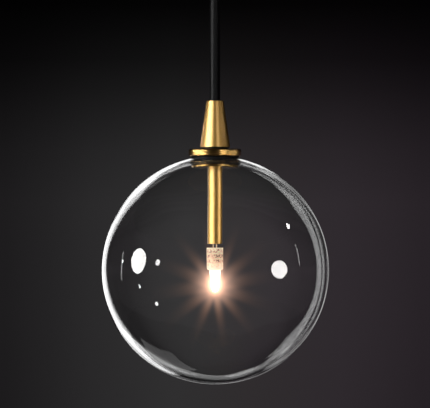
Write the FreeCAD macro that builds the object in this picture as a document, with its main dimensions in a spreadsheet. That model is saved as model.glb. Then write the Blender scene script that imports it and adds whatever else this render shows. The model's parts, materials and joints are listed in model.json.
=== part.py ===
import FreeCAD, Part
import math
import os
import re

import Sketcher

# Pendant ceiling light: a clear glass globe on a brass head, hung by a round flex from a
# ceiling canopy that holds the 12 V driver. Millimetres, +Z up. The origin is the centre of
# the ceiling plate's upper face, so everything hangs below z = 0.

SIZES = {
    # Glass globe
    "globe_radius": 75,
    "globe_wall": 2.5,
    "hole_radius": 16,
    "lip_round": 1.1,
    # Brass and rubber stack in the globe's hole
    "disc_height": 74.6,       # underside of the upper disc, above the globe's centre
    "disc_radius": 17.2,
    "disc_thick": 4.6,
    "disc_round": 1.1,
    "plate_height": 68.6,      # top of the lower disc, above the globe's centre
    "plate_radius": 15.4,      # it passes through the hole
    "plate_thick": 1.5,
    "collar_top": 15.2,
    "collar_bottom": 15.6,
    "washer_radius": 8.6,
    "washer_thick": 1.1,
    # Cone that clamps the stack and grips the flex
    "cone_height": 30.7,
    "cone_top": 5.6,
    "cone_bottom": 10,
    "cone_throat": 5,
    "bush_length": 4,
    "bush_mouth": 4.35,
    "bush_bore": 3.8,
    # Stem
    "stem_radius": 4.75,
    "stem_bore": 3.95,
    "stem_end": 17.3,          # lower end of the stem, above the globe's centre
    "spigot_radius": 4.25,     # fine thread, drawn plain
    "spigot_bore": 3.5,
    "spigot_reach": 13,        # how far the spigot goes up inside the cone
    "fit_gap": 0.08,
    # Flex
    "cord_radius": 3.4,
    "cord_length": 72,         # from the canopy grip's mouth to the cone's mouth
    "core_radius": 0.95,
    "core_place": 1.6,
    "earth_radius": 0.85,
    "pivot_depth": 1,          # how far inside each mouth the flex bends
    "bend_gap": 0.3,
    # Capsule lamp with two pins
    "lamp_height": 14.75,      # top of the lamp's base, above the globe's centre
    "lamp_radius": 5.5,
    "lamp_length": 14.7,
    "lamp_wall": 1,
    "bulb_radius": 4.1,
    "bulb_tip": 2.3,
    "bulb_reach": 14.4,        # how far the bulb stands out of the base
    "bulb_wall": 0.7,
    "pin_radius": 0.35,
    "pin_length": 8,
    "pin_pitch": 4,
    "pin_turn": 58,            # degrees from the X axis
    "holder_radius": 3.85,
    "holder_length": 14,
    "holder_recess": 0.5,
    "socket_floor": 2.4,       # depth of the pin holes below the contacts' wells
    # Canopy and its cord grip
    "canopy_radius": 60,
    "canopy_height": 25,
    "canopy_wall": 1.2,
    "canopy_round": 3,
    "grip_height": 10,
    "grip_flange": 9,
    "grip_mouth": 5.1,
    "grip_bore": 3.75,
    "grip_thread": 4.9,        # M10x1, drawn plain
    "grip_tail": 18.2,         # height of the grip with its threaded spigot
    "cap_height": 8,
    # Ceiling plate
    "base_radius": 56,
    "base_thick": 1.5,
    "slot_place": 47,
    "slot_radius": 2.25,
    "slot_length": 10,
    "supply_radius": 10,
    "grommet_bore": 7.6,
    "grommet_lip": 1.6,
    "stud_place": 46,
    "stud_radius": 2,
    "stud_length": 29.5,
    # Driver box and terminal block on the ceiling plate
    "driver_place": 25.5,
    "driver_width": 25,
    "driver_length": 44,
    "driver_height": 17,
    "driver_wall": 1.4,
    "lid_thick": 1.6,
    "ear_length": 76,
    "ear_thick": 2,
    "ear_inset": 4,            # from each ear's end to its screw
    "ear_hole": 1.6,
    "earth_left": 20,
    "earth_front": 36,
    "terminal_length": 7.2,
    "terminal_height": 7.4,
    "block_place": -23,
    "block_width": 17,
    "block_length": 27,
    "block_height": 13,
    "block_pitch": 8,
}

doc = FreeCAD.newDocument("pendant_light")
sheet = doc.addObject("Spreadsheet::Sheet", "Sizes")
for row, (alias, number) in enumerate(SIZES.items(), 1):
    sheet.set(f"A{row}", alias)
    sheet.set(f"B{row}", str(number))
    sheet.setAlias(f"B{row}", alias)
doc.recompute()
nodes = []


# ---- Expressions ------------------------------------------------------------------------


def bound(text):
    """An expression with each size's name written as its cell in the sheet."""
    return re.sub(r"[a-z]+_[a-z]+", lambda word: "Sizes." + word[0], str(text))


def value(text):
    """What an expression comes to, in millimetres."""
    return float(sheet.evalExpression(bound(text)))


def bind(thing, **properties):
    """Binds properties to expressions; a double underscore stands for a dot."""
    for name, text in properties.items():
        thing.setExpression(name.replace("__", "."), bound(text))


def place(thing, x="0", y="0", z="0"):
    """Puts a piece at a place in the part's frame."""
    bind(thing, Placement__Base__x=x, Placement__Base__y=y, Placement__Base__z=z)
    return thing


def node(thing):
    """Marks a finished piece, which is written under its label."""
    nodes.append(thing)
    return thing


# Levels, from the ceiling down.
PLATE_FACE = "-base_thick"
CANOPY_FLOOR = "(canopy_wall - canopy_height)"
GRIP_MOUTH = "(-canopy_height - grip_height)"
SWING_PIVOT = f"({GRIP_MOUTH} + pivot_depth)"
SEAT_RIM = "sqrt((cord_radius + bend_gap)^2 - cord_radius^2)"
TAIL_FOOT = f"({SWING_PIVOT} + 5)"
TAIL_TOP = f"({GRIP_MOUTH} + 25)"
CONE_TOP = f"({GRIP_MOUTH} - cord_length)"
TILT_PIVOT = f"({CONE_TOP} - pivot_depth)"
CONE_FOOT = f"({CONE_TOP} - cone_height)"
DISC_TOP = f"({CONE_FOOT} - washer_thick)"
DISC_FOOT = f"({DISC_TOP} - disc_thick)"
GLOBE_CENTRE = f"({DISC_FOOT} - disc_height)"
PLATE_TOP = f"({GLOBE_CENTRE} + plate_height)"
PLATE_FOOT = f"({PLATE_TOP} - plate_thick)"
STEM_FOOT = f"({GLOBE_CENTRE} + stem_end)"
SPIGOT_TOP = f"({CONE_FOOT} + spigot_reach)"
CORD_FOOT = f"({SPIGOT_TOP} - 5)"
HOLDER_FOOT = f"({STEM_FOOT} + holder_recess)"
HOLDER_TOP = f"({HOLDER_FOOT} + holder_length)"
LAMP_TOP = f"({GLOBE_CENTRE} + lamp_height)"
LAMP_FOOT = f"({LAMP_TOP} - lamp_length)"
DRIVER_FOOT = "(-base_thick - driver_height)"


# ---- Ways of making a piece -------------------------------------------------------------


def new_sketch(body, role, lift="0"):
    """A sketch on one of a body's own origin planes, moved along that plane's normal."""
    plane = next(f for f in body.Origin.OriginFeatures if f.Role == role)
    sketch = body.newObject("Sketcher::SketchObject", body.Name + "_sketch")
    sketch.AttachmentSupport = [(plane, "")]
    sketch.MapMode = "FlatFace"
    if lift != "0":
        bind(sketch, AttachmentOffset__Base__z=lift)
    return sketch


def hold(sketch, geometry, point, x, y):
    """Fixes a point of a sketch's geometry at (x, y), which are expressions."""
    for kind, axis, text in (("DistanceX", -2, x), ("DistanceY", -1, y)):
        if abs(value(text)) < 1e-9:
            sketch.addConstraint(Sketcher.Constraint("PointOnObject", geometry, point, axis))
            continue
        distance = Sketcher.Constraint(kind, -1, 1, geometry, point, value(text))
        index = sketch.addConstraint(distance)
        sketch.setExpression(f"Constraints[{index}]", bound(text))


def draw_outline(sketch, corners):
    """Draws a closed polygon whose corners are pairs of expressions."""
    points = [FreeCAD.Vector(value(x), value(y), 0) for x, y in corners]
    first, count = sketch.GeometryCount, len(points)
    for i in range(count):
        sketch.addGeometry(Part.LineSegment(points[i], points[(i + 1) % count]), False)
    for i in range(count):
        join = Sketcher.Constraint("Coincident", first + i, 2, first + (i + 1) % count, 1)
        sketch.addConstraint(join)
    for i, (x, y) in enumerate(corners):
        hold(sketch, first + i, 1, x, y)


def draw_rectangle(sketch, width, length):
    """Draws a rectangle centred on the sketch's origin."""
    half_x, half_y = f"({width}) / 2", f"({length}) / 2"
    low_x, low_y = "-" + half_x, "-" + half_y
    draw_outline(sketch, [(low_x, low_y), (half_x, low_y), (half_x, half_y), (low_x, half_y)])


def draw_circles(sketch, circles):
    """Draws circles, each an (x, y, radius) of expressions."""
    for x, y, radius in circles:
        centre = FreeCAD.Vector(value(x), value(y), 0)
        circle = Part.Circle(centre, FreeCAD.Vector(0, 0, 1), value(radius))
        i = sketch.addGeometry(circle, False)
        size = sketch.addConstraint(Sketcher.Constraint("Radius", i, value(radius)))
        sketch.setExpression(f"Constraints[{size}]", bound(radius))
        hold(sketch, i, 3, x, y)


def draw_slot(sketch, x, half_length, radius):
    """Draws a slot along X, centred on (x, 0)."""
    middle, reach, size = value(x), value(f"{half_length} - {radius}"), value(radius)
    left, right = middle - reach, middle + reach
    up, quarter = FreeCAD.Vector(0, 0, 1), math.pi / 2
    right_end = Part.Circle(FreeCAD.Vector(right, 0, 0), up, size)
    left_end = Part.Circle(FreeCAD.Vector(left, 0, 0), up, size)
    top = [FreeCAD.Vector(left, size, 0), FreeCAD.Vector(right, size, 0)]
    low = [FreeCAD.Vector(right, -size, 0), FreeCAD.Vector(left, -size, 0)]
    first = sketch.addGeometry(Part.LineSegment(*top), False)
    sketch.addGeometry(Part.ArcOfCircle(right_end, -quarter, quarter), False)
    sketch.addGeometry(Part.LineSegment(*low), False)
    sketch.addGeometry(Part.ArcOfCircle(left_end, quarter, 3 * quarter), False)
    for a, a_end, b, b_end in ((0, 2, 1, 2), (1, 1, 2, 1), (2, 2, 3, 2), (3, 1, 0, 1)):
        tangent = Sketcher.Constraint("Tangent", first + a, a_end, first + b, b_end)
        sketch.addConstraint(tangent)
    hold(sketch, first + 1, 3, f"{x} + {half_length} - {radius}", "0")
    hold(sketch, first + 3, 3, f"{x} - {half_length} + {radius}", "0")
    index = sketch.addConstraint(Sketcher.Constraint("Radius", first + 1, size))
    sketch.setExpression(f"Constraints[{index}]", bound(radius))


def turned(label, level, outline):
    """A body turned about Z. Its outline is (radius, height) corners above its level."""
    body = doc.addObject("PartDesign::Body", label)
    sketch = new_sketch(body, "XZ_Plane")
    draw_outline(sketch, outline)
    turning = body.newObject("PartDesign::Revolution", label + "_turning")
    turning.Profile = sketch
    turning.ReferenceAxis = (sketch, ["V_Axis"])
    turning.Angle = 360
    return place(body, z=level)


def ring(label, level, outer, bore, height):
    """A plain turned ring or tube."""
    return turned(label, level, [(bore, "0"), (outer, "0"), (outer, height), (bore, height)])


def padded(label, x, y, level, width, length, height):
    """A block centred on (x, y), made by padding a rectangle."""
    body = doc.addObject("PartDesign::Body", label)
    sketch = new_sketch(body, "XY_Plane")
    draw_rectangle(sketch, width, length)
    add_pad(body, sketch, height)
    return place(body, x, y, level)


def add_pad(body, sketch, height):
    pad = body.newObject("PartDesign::Pad", body.Name + "_pad")
    pad.Profile = sketch
    bind(pad, Length=height)


def pocket(body, sketch, depth, upwards=True):
    """Cuts a sketch into a body, and checks that it took something off."""
    doc.recompute()
    before = body.Shape.Volume
    feature = body.newObject("PartDesign::Pocket", body.Name + "_pocket")
    feature.Profile = sketch
    feature.Reversed = upwards
    bind(feature, Length=depth)
    doc.recompute()
    if body.Shape.Volume > before - 1e-3:
        raise RuntimeError(f"the pocket in {body.Label} cut nothing")
    return body


def drilled(body, depth, *circles):
    """Drills round holes up from a body's own XY plane."""
    sketch = new_sketch(body, "XY_Plane")
    draw_circles(sketch, circles)
    return pocket(body, sketch, depth)


def dressed(body, size, *places):
    """Rounds the circular edges at these (radius, height) places of a turned body."""
    doc.recompute()
    wanted = [(value(radius), value(height)) for radius, height in places]
    names = []
    for i, edge in enumerate(body.Tip.Shape.Edges, 1):
        if not isinstance(edge.Curve, Part.Circle):
            continue
        here = (edge.Curve.Radius, edge.Curve.Center.z)
        if any(math.dist(here, there) < 1e-3 for there in wanted):
            names.append(f"Edge{i}")
    if len(names) < len(places):
        raise RuntimeError(f"{body.Label} has only {len(names)} of its edges to round")
    return fillet(body, names, size)


def round_corners(body, size):
    """Rounds the upright edges of a block."""
    doc.recompute()
    names = []
    for i, edge in enumerate(body.Tip.Shape.Edges, 1):
        if isinstance(edge.Curve, Part.Line) and abs(edge.Curve.Direction.z) > 0.99:
            names.append(f"Edge{i}")
    return fillet(body, names, size)


def fillet(body, names, size):
    """Rounds the named edges of a body's last feature."""
    last = body.Tip
    feature = body.newObject("PartDesign::Fillet", body.Name + "_fillet")
    feature.Base = (last, names)
    bind(feature, Radius=size)
    doc.recompute()
    return body


def cylinder(label, radius, height, x="0", y="0", z="0"):
    thing = doc.addObject("Part::Cylinder", label)
    bind(thing, Radius=radius, Height=height)
    return place(thing, x, y, z)


def sphere(label, radius, z):
    thing = doc.addObject("Part::Sphere", label)
    bind(thing, Radius=radius)
    return place(thing, z=z)


def boolean(kind, label, base, tool):
    """A Part::Cut, Part::Fuse or Part::Common of two pieces."""
    thing = doc.addObject(f"Part::{kind}", label)
    thing.Base = base
    thing.Tool = tool
    return thing


def grouped(label, *things):
    """Separate solids that share one node."""
    thing = doc.addObject("Part::Compound", label)
    thing.Links = list(things)
    return thing


def mirror_pair(label, source):
    """A piece and its mirror image in Y, as one node."""
    image = doc.addObject("Part::Mirroring", label + "_image")
    image.Source = source
    image.Normal = FreeCAD.Vector(0, 1, 0)
    return grouped(label, source, image)


def hexagon_nut(label, level, across, bore, height, y="0"):
    """A hexagon nut, by its width across flats."""
    prism = doc.addObject("Part::Prism", label + "_hexagon")
    prism.Polygon = 6
    bind(prism, Circumradius=f"{across} / sqrt(3)", Height=height)
    place(prism, "0", y, level)
    hole = cylinder(label + "_hole", bore, f"{height} + 2", "0", y, f"{level} - 1")
    return boolean("Cut", label, prism, hole)


def lead(label, points, radius):
    """A round lead: straight runs joined by tangent arcs as large as the runs allow."""
    path = [FreeCAD.Vector(*p) for p in points]
    edges, start = [], path[0]
    for before, corner, after in zip(path, path[1:], path[2:]):
        back, onward = before - corner, after - corner
        half_turn = (math.pi - back.getAngle(onward)) / 2
        reach = 0.45 * min(back.Length, onward.Length)
        bend = reach / math.tan(half_turn)
        back.normalize()
        onward.normalize()
        first, last = corner + back * reach, corner + onward * reach
        inward = (back + onward).normalize()
        middle = corner + inward * (math.hypot(bend, reach) - bend)
        edges.append(Part.LineSegment(start, first).toShape())
        edges.append(Part.Arc(first, middle, last).toShape())
        start = last
    edges.append(Part.LineSegment(start, path[-1]).toShape())
    wire = Part.Wire(edges)
    section = Part.Wire(Part.makeCircle(radius, path[0], path[1] - path[0]))
    solid = Part.Solid(wire.makePipeShell([section], True, False))
    if abs(solid.Volume / (math.pi * radius**2 * wire.Length) - 1) > 0.02:
        raise RuntimeError(f"{label} has the wrong volume")
    thing = doc.addObject("Part::Feature", label)
    thing.Shape = solid
    thing.Placement = FreeCAD.Placement()
    return thing


# ---- Ceiling plate ----------------------------------------------------------------------


def make_ceiling_plate():
    """Steel disc with two slots for the ceiling screws, its studs and their nuts."""
    plate = ring("ceiling_plate", PLATE_FACE, "base_radius", "supply_radius", "base_thick")
    slots = new_sketch(plate, "XY_Plane")
    for x in ("slot_place", "-slot_place"):
        draw_slot(slots, x, "slot_length / 2", "slot_radius")
    pocket(plate, slots, "base_thick")
    ears = [("driver_place", f"{end} * (ear_length / 2 - ear_inset)", "ear_hole") for end in (1, -1)]
    studs = [("0", f"{end} * stud_place", "stud_radius") for end in (1, -1)]
    drilled(plate, "base_thick", *studs, *ears, ("-earth_left", "-earth_front", "2"))
    node(plate)
    lip, sleeve = "supply_radius + 2", "supply_radius - 0.05"
    tall = "base_thick + grommet_lip"
    grommet = turned("supply_grommet", f"-({tall})", [
        ("grommet_bore", "0"), (lip, "0"), (lip, "grommet_lip - 0.05"),
        (sleeve, "grommet_lip - 0.05"), (sleeve, tall), ("grommet_bore", tall),
    ])
    node(dressed(grommet, "0.5", (lip, "0"), ("grommet_bore", "0")))
    stud = cylinder("stud", "stud_radius", "stud_length", y="stud_place", z="-stud_length")
    node(mirror_pair("canopy_studs", stud))
    nut_level = f"({PLATE_FACE} - 3.2)"
    nut = hexagon_nut("stud_nut", nut_level, "7", "stud_radius", "3.2", "stud_place")
    node(mirror_pair("stud_nuts", nut))


def make_driver():
    """12 V driver: a case with ears, its lid, the loaded board, terminals and screws."""
    inner_width = "driver_width - 2 * driver_wall"
    inner_length = "driver_length - 2 * driver_wall"
    case_height = "driver_height - lid_thick"
    case = padded(
        "driver_case", "driver_place", "0", f"{DRIVER_FOOT} + lid_thick",
        "driver_width", "driver_length", case_height,
    )
    round_corners(case, "2")
    ears = new_sketch(case, "XY_Plane", f"{case_height} - ear_thick")
    draw_rectangle(ears, "12", "ear_length")
    add_pad(case, ears, "ear_thick")
    hollow = new_sketch(case, "XY_Plane")
    draw_rectangle(hollow, inner_width, inner_length)
    pocket(case, hollow, f"{case_height} - driver_wall - ear_thick")
    holes = new_sketch(case, "XY_Plane")
    draw_circles(holes, [("0", f"{end} * (ear_length / 2 - ear_inset)", "ear_hole") for end in (1, -1)])
    node(pocket(case, holes, case_height))
    lid = padded(
        "driver_lid", "driver_place", "0", DRIVER_FOOT, "driver_width", "driver_length", "lid_thick"
    )
    node(round_corners(lid, "2"))

    board_level = f"({DRIVER_FOOT} + lid_thick + 1)"
    board = padded(
        "board_sheet", "driver_place", "0", board_level,
        f"{inner_width} - 0.6", f"{inner_length} - 0.6", "1.2",
    )
    top = f"({board_level} + 1.2)"
    core = padded("transformer", "driver_place", "2", top, "14", "13", "8")
    tall_can = cylinder("tall_capacitor", "3", "9", "driver_place - 5", "-12", top)
    short_can = cylinder("short_capacitor", "2.2", "7", "driver_place + 4", "-12", top)
    coil = cylinder("coil", "3", "5", "driver_place + 4", "15", top)
    node(grouped("driver_board", board, core, tall_can, short_can, coil))

    level = f"({PLATE_FACE} - ear_thick - terminal_height)"
    for label, end in (("driver_input_terminal", 1), ("driver_output_terminal", -1)):
        y = f"{end} * (driver_length / 2 + terminal_length / 2)"
        terminal = padded(
            label, "driver_place", y, level, "10", "terminal_length", "terminal_height"
        )
        node(drilled(terminal, "2", ("-2.5", "0", "1.3"), ("2.5", "0", "1.3")))
    screw = turned("driver_screw", f"({PLATE_FACE} - ear_thick - 1.6)", [
        ("0", "0"), ("2.8", "0"), ("2.8", "1.6"), ("1.5", "1.6"),
        ("1.5", "1.6 + ear_thick + base_thick"), ("0", "1.6 + ear_thick + base_thick"),
    ])
    dressed(screw, "0.7", ("2.8", "0"))
    bind(screw, Placement__Base__x="driver_place", Placement__Base__y="ear_length / 2 - ear_inset")
    node(mirror_pair("driver_screws", screw))


def make_mains():
    """Mains terminal block with its screws, the earth screw and the leads."""
    level = f"({PLATE_FACE} - block_height)"
    block = padded(
        "terminal_block", "block_place", "0", level, "block_width", "block_length", "block_height"
    )
    ways = [f"{way} * block_pitch" for way in (-1, 0, 1)]
    columns = ("-4.5", "4.5")
    wells = [(x, y, "2.2") for x in columns for y in ways]
    node(drilled(round_corners(block, "1"), "6", *wells))
    screws = []
    for x in columns:
        for y in ways:
            name = f"clamp_{len(screws)}"
            screws.append(cylinder(name, "1.9", "4", f"block_place + {x}", y, f"{level} + 2"))
    node(grouped("terminal_screws", *screws))
    earth = turned("earth_screw", f"({PLATE_FACE} - 2.4)", [
        ("0", "0"), ("3.6", "0"), ("3.6", "2.4"), ("1.9", "2.4"),
        ("1.9", "2.4 + base_thick"), ("0", "2.4 + base_thick"),
    ])
    dressed(earth, "0.8", ("3.6", "0"))
    bind(earth, Placement__Base__x="-earth_left", Placement__Base__y="-earth_front")
    node(earth)

    core, start = value("core_radius"), value("core_place")
    block_end = value("block_length / 2")
    terminal_end = value("driver_length / 2 + terminal_length")
    node(lead("earth_lead", [
        (-23, -block_end, -8), (-23, -20, -8), (-25.5, -27, -6.6), (-23.2, -33, -2.9),
    ], value("earth_radius")))
    live = lead("live_lead", [
        (-20, block_end, -8), (-20, 22, -8), (-12, 34, -9), (4, 40, -10), (17, 40.5, -9),
        (23, 37, -7), (23, terminal_end, -7),
    ], core)
    neutral = lead("neutral_lead", [
        (-27.5, block_end, -10), (-27.5, 22, -10), (-18, 33, -13), (0, 39.5, -15), (17, 41, -13),
        (28, 37, -8.5), (28, terminal_end, -8.5),
    ], core)
    node(grouped("mains_leads", live, neutral))
    tail = value(TAIL_TOP)
    first = lead("first_core", [
        (start, 0, tail), (start, 0, -6), (5, -9, -5.6), (3, -22, -12), (9, -34, -13.5),
        (18, -38, -10), (23, -36, -7), (23, -terminal_end, -7),
    ], core)
    second = lead("second_core", [
        (-start, 0, tail), (-start, 0, -6), (-2.2, -9, -6.5), (-5, -22, -15), (4, -38, -17.5),
        (20, -41, -14), (28, -37, -8), (28, -terminal_end, -8),
    ], core)
    node(grouped("output_leads", first, second))


# ---- Canopy and its cord grip -----------------------------------------------------------


def make_canopy():
    """Spun brass cup, open to the ceiling, and the domed nuts under it."""
    inner, hole = "canopy_radius - canopy_wall", "grip_thread + 0.1"
    cup = turned("canopy", "-canopy_height", [
        (hole, "0"), ("canopy_radius", "0"), ("canopy_radius", "canopy_height"),
        (inner, "canopy_height"), (inner, "canopy_wall"), (hole, "canopy_wall"),
    ])
    dressed(cup, "canopy_round", ("canopy_radius", "0"))
    dressed(cup, "canopy_round - canopy_wall", (inner, "canopy_wall"))
    stud_holes = [("0", f"{end} * stud_place", "stud_radius + 0.4") for end in (1, -1)]
    node(drilled(cup, "2 * canopy_wall", *stud_holes))
    shank, rim, bore = "3.9", "5.2", "stud_radius + 0.06"
    nut = turned("cap_nut", "(-canopy_height - cap_height)", [
        ("0", "0"), (shank, "0"), (shank, "cap_height - 1.4"), (rim, "cap_height - 1.4"),
        (rim, "cap_height"), (bore, "cap_height"), (bore, "2"), ("0", "2"),
    ])
    dressed(nut, "3", (shank, "0"))
    dressed(nut, "0.4", (rim, "cap_height - 1.4"))
    bind(nut, Placement__Base__y="stud_place")
    node(mirror_pair("cap_nuts", nut))


def make_canopy_grip():
    """Turned brass cord grip, nutted through the canopy's floor, and its gland inside."""
    rim = "grip_mouth + 0.9"
    grip = turned("canopy_grip", GRIP_MOUTH, [
        ("grip_mouth", "0"), (rim, "0"), ("grip_flange - 1", "grip_height - 1.8"),
        ("grip_flange", "grip_height - 1.8"), ("grip_flange", "grip_height"),
        ("grip_thread", "grip_height"), ("grip_thread", "grip_tail"),
        ("grip_bore", "grip_tail"), ("grip_bore", "pivot_depth + 2.5"),
        ("grip_mouth - 0.4", "pivot_depth"),
    ])
    dressed(grip, "0.4", (rim, "0"))
    node(dressed(grip, "0.6", ("grip_flange", "grip_height - 1.8")))
    outer = 8.2
    washer = ring("grip_star_washer", CANOPY_FLOOR, str(outer), "grip_thread + 0.1", "0.8")
    turns = [2 * math.pi * (k + 0.5) / 10 for k in range(10)]
    bites = [(f"{outer * math.cos(a):.4f}", f"{outer * math.sin(a):.4f}", "1") for a in turns]
    node(drilled(washer, "0.8", *bites))
    nut_level = f"({CANOPY_FLOOR} + 0.8)"
    node(hexagon_nut("grip_lock_nut", nut_level, "14", "grip_thread", "2.6"))
    make_collet("grip_collet", f"({GRIP_MOUTH} + grip_tail)", "grip_thread", "4.6")
    gland = turned("grip_gland_nut", f"({GRIP_MOUTH} + grip_tail - 3)", [
        ("grip_thread", "0"), ("6.8", "0"), ("6.8", "9"), ("cord_radius + 0.25", "9"),
        ("cord_radius + 0.25", "7.8"), ("grip_thread", "7.8"),
    ])
    node(dressed(gland, "0.8", ("6.8", "9")))


def make_collet(label, level, thread, height):
    """Nylon collet, slit on one side so that it closes on the flex."""
    collet = turned(label, level, [
        ("cord_radius", "0"), (f"{thread} - 0.05", "0"), (f"{thread} - 0.6", height),
        ("cord_radius", height),
    ])
    slit = new_sketch(collet, "XY_Plane")
    draw_outline(slit, [("2", "-0.4"), ("8", "-0.4"), ("8", "0.4"), ("2", "0.4")])
    node(pocket(collet, slit, height))


# ---- Flex -------------------------------------------------------------------------------


def make_cord():
    """The flex in four lengths, which meet in round joints inside the two mouths."""
    span = f"({SWING_PIVOT} - {TILT_PIVOT})"
    rod = cylinder("cord_rod", "cord_radius", span, z=TILT_PIVOT)
    upper_end = sphere("cord_upper_end", "cord_radius", SWING_PIVOT)
    lower_end = sphere("cord_lower_end", "cord_radius", TILT_PIVOT)
    cord = doc.addObject("Part::MultiFuse", "cord")
    cord.Shapes = [rod, upper_end, lower_end]
    cord.Refine = True
    node(cord)

    seat = "cord_radius + bend_gap"
    neck_length = f"{TAIL_FOOT} - bend_gap - {SWING_PIVOT}"
    neck = cylinder("neck_rod", "cord_radius", neck_length, z=SWING_PIVOT)
    node(boolean("Cut", "cord_neck", neck, sphere("neck_seat", seat, SWING_PIVOT)))
    node(cylinder("cord_tail", "cord_radius", f"{TAIL_TOP} - {TAIL_FOOT}", z=TAIL_FOOT))
    end = cylinder("end_rod", "cord_radius", f"{TILT_PIVOT} - {CORD_FOOT}", z=CORD_FOOT)
    node(boolean("Cut", "cord_end", end, sphere("end_seat", seat, TILT_PIVOT)))


# ---- Head -------------------------------------------------------------------------------


def make_cone():
    """Brass cone, threaded on the stem's spigot, with the bush in its mouth."""
    thread = "spigot_radius + fit_gap"
    shelf = "cone_height - bush_length"
    cone = turned("cone", CONE_FOOT, [
        (thread, "0"), ("cone_bottom", "0"), ("cone_top", "cone_height"),
        ("cone_throat", "cone_height"), ("cone_throat", shelf), ("bush_bore + 0.2", f"{shelf} - 0.6"),
        ("bush_bore + 0.2", "spigot_reach + 8"), ("spigot_radius + 0.3", "spigot_reach + 6.5"),
        (thread, "spigot_reach + 3"),
    ])
    dressed(cone, "0.5", ("cone_bottom", "0"))
    node(dressed(cone, "0.25", ("cone_top", "cone_height")))
    bush = turned("cone_bush", f"({CONE_FOOT} + {shelf})", [
        ("bush_bore", "0"), ("cone_throat - fit_gap", "0"),
        ("cone_throat - fit_gap", "bush_length"), ("bush_mouth", "bush_length"),
        ("bush_bore", "bush_length - 2.5"),
    ])
    node(bush)
    make_collet("cone_collet", SPIGOT_TOP, "spigot_radius", "4.2")


def make_stack():
    """What the cone clamps: washer, upper disc, silicone collar and lower disc."""
    bore = "spigot_radius + 0.1"
    node(ring("clamp_washer", DISC_TOP, "washer_radius", bore, "washer_thick"))
    disc = ring("upper_disc", DISC_FOOT, "disc_radius", bore, "disc_thick")
    node(dressed(disc, "disc_round", ("disc_radius", "0"), ("disc_radius", "disc_thick")))
    tall = "disc_height - plate_height"
    collar = turned("expanding_collar", PLATE_TOP, [
        (bore, "0"), ("collar_bottom", "0"), ("collar_top", tall), (bore, tall),
    ])
    node(dressed(collar, "0.3", ("collar_bottom", "0")))
    plate = ring("lower_disc", PLATE_FOOT, "plate_radius", bore, "plate_thick")
    node(dressed(plate, "0.3", ("plate_radius", "0"), ("plate_radius", "plate_thick")))


def make_stem():
    """Stem with its spigot, and the socket, contacts, leads and grub screw inside it."""
    shoulder = f"({PLATE_FOOT} - {STEM_FOOT})"
    top = f"({SPIGOT_TOP} - {STEM_FOOT})"
    stem = turned("stem_tube", STEM_FOOT, [
        ("stem_bore", "0"), ("stem_radius", "0"), ("stem_radius", shoulder),
        ("spigot_radius", shoulder), ("spigot_radius", top), ("spigot_bore", top),
        ("spigot_bore", f"{shoulder} - 3"), ("stem_bore", f"{shoulder} - 3"),
    ])
    dressed(stem, "0.3", ("stem_radius", "0"))
    screw_height = "holder_recess + holder_length / 2"
    side = new_sketch(stem, "XZ_Plane")
    draw_circles(side, [("0", screw_height, "1.25")])
    node(pocket(stem, side, "stem_radius + 1", upwards=False))
    screw = cylinder("holder_screw", "1.2", "stem_radius - holder_radius + 0.4")
    screw.Placement.Rotation = FreeCAD.Rotation(FreeCAD.Vector(1, 0, 0), -90)
    place(screw, y="holder_radius - 0.6", z=f"{STEM_FOOT} + {screw_height}")
    node(screw)

    holder = cylinder("holder_block", "holder_radius", "holder_length", z=HOLDER_FOOT)
    dimple = cylinder("holder_dimple", "1.35", "3")
    dimple.Placement.Rotation = FreeCAD.Rotation(FreeCAD.Vector(1, 0, 0), -90)
    place(dimple, y="holder_radius - 0.7", z=f"{STEM_FOOT} + {screw_height}")
    cut = [dimple]
    contacts = []
    for name, side in (("a", 1), ("b", -1)):
        x = f"{side} * pin_pitch / 2 * cos(pin_turn * 1 deg)"
        y = f"{side} * pin_pitch / 2 * sin(pin_turn * 1 deg)"
        cut.append(cylinder(f"pin_hole_{name}", "pin_radius + 0.1", "socket_floor + 0.1", x, y, HOLDER_FOOT))
        cut.append(cylinder(f"well_{name}", "1.05", "holder_length", x, y, f"{HOLDER_FOOT} + socket_floor"))
        foot = f"{HOLDER_FOOT} + socket_floor + 0.2"
        barrel = cylinder(f"barrel_{name}", "1", "7", x, y, foot)
        bore = cylinder(f"barrel_bore_{name}", "pin_radius + 0.1", "4", x, y, f"{foot} - 0.5")
        contacts.append(boolean("Cut", f"contact_{name}", barrel, bore))
    tools = doc.addObject("Part::MultiFuse", "holder_hollows")
    tools.Shapes = cut
    node(boolean("Cut", "lamp_holder", holder, tools))
    node(grouped("holder_contacts", *contacts))
    gap = "0.1"
    length = f"{CORD_FOOT} - {HOLDER_TOP} - 2 * {gap}"
    cores = [
        cylinder(f"stem_core_{n}", "core_radius", length, x, z=f"{HOLDER_TOP} + {gap}")
        for n, x in enumerate(("core_place", "-core_place"))
    ]
    node(grouped("stem_leads", *cores))


# ---- Globe and lamp ---------------------------------------------------------------------


def make_globe():
    """Blown glass globe with a fire-polished hole at its top."""
    outside = sphere("globe_outside", "globe_radius", GLOBE_CENTRE)
    inside = sphere("globe_inside", "globe_radius - globe_wall", GLOBE_CENTRE)
    shell = boolean("Cut", "globe_shell", outside, inside)
    hole = cylinder("globe_hole", "hole_radius", "globe_radius", z=GLOBE_CENTRE)
    bored = boolean("Cut", "globe_bored", shell, hole)
    doc.recompute()
    rims = []
    for i, edge in enumerate(bored.Shape.Edges, 1):
        if edge.Degenerated or not isinstance(edge.Curve, Part.Circle):
            continue
        if abs(edge.Curve.Radius - value("hole_radius")) < 1e-3:
            rims.append((i, value("lip_round"), value("lip_round")))
    globe = doc.addObject("Part::Fillet", "glass_globe")
    globe.Base = bored
    globe.Edges = rims
    node(globe)


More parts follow.
